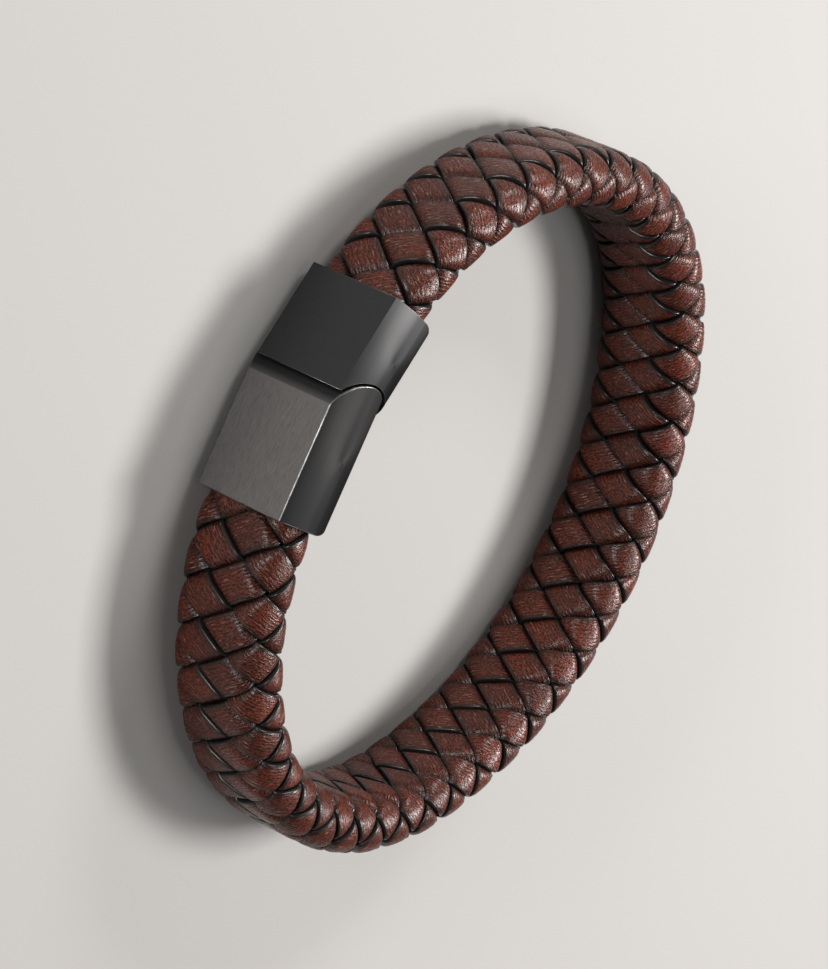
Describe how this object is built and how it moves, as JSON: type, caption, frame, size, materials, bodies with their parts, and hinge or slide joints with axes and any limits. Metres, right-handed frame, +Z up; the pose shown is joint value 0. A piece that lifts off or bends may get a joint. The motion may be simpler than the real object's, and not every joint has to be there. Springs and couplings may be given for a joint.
{
  "type": "braided leather bracelet",
  "caption": "Closed bracelet of flat leather strands plaited into a flattened strap, joined by a two-part magnetic steel clasp with a lip and a rounded end.",
  "frame": {"origin": "middle of the bounding box's base, on the surface that the bracelet lies on", "axes": "+Z up along the strap's width, -Y towards the clasp, +X towards the clasp's nose half"},
  "size_m": [0.0756, 0.0631, 0.0128],
  "materials": {
    "leather": "waxed, with fine grain lines along each strand and black cut edges",
    "core": "matt",
    "dark_steel": "black plated, satin",
    "brushed_steel": "black plated, brushed along its length"
  },
  "bodies": {
    "root": {"strand_1": "leather", "strand_2": "leather", "strand_3": "leather", "strand_4": "leather", "strand_5": "leather", "strand_6": "leather", "strand_7": "leather", "strand_8": "leather", "braid_core": "core", "clasp_lip_half": "dark_steel", "clasp_nose_half": "brushed_steel"}
  },
  "joints": []
}
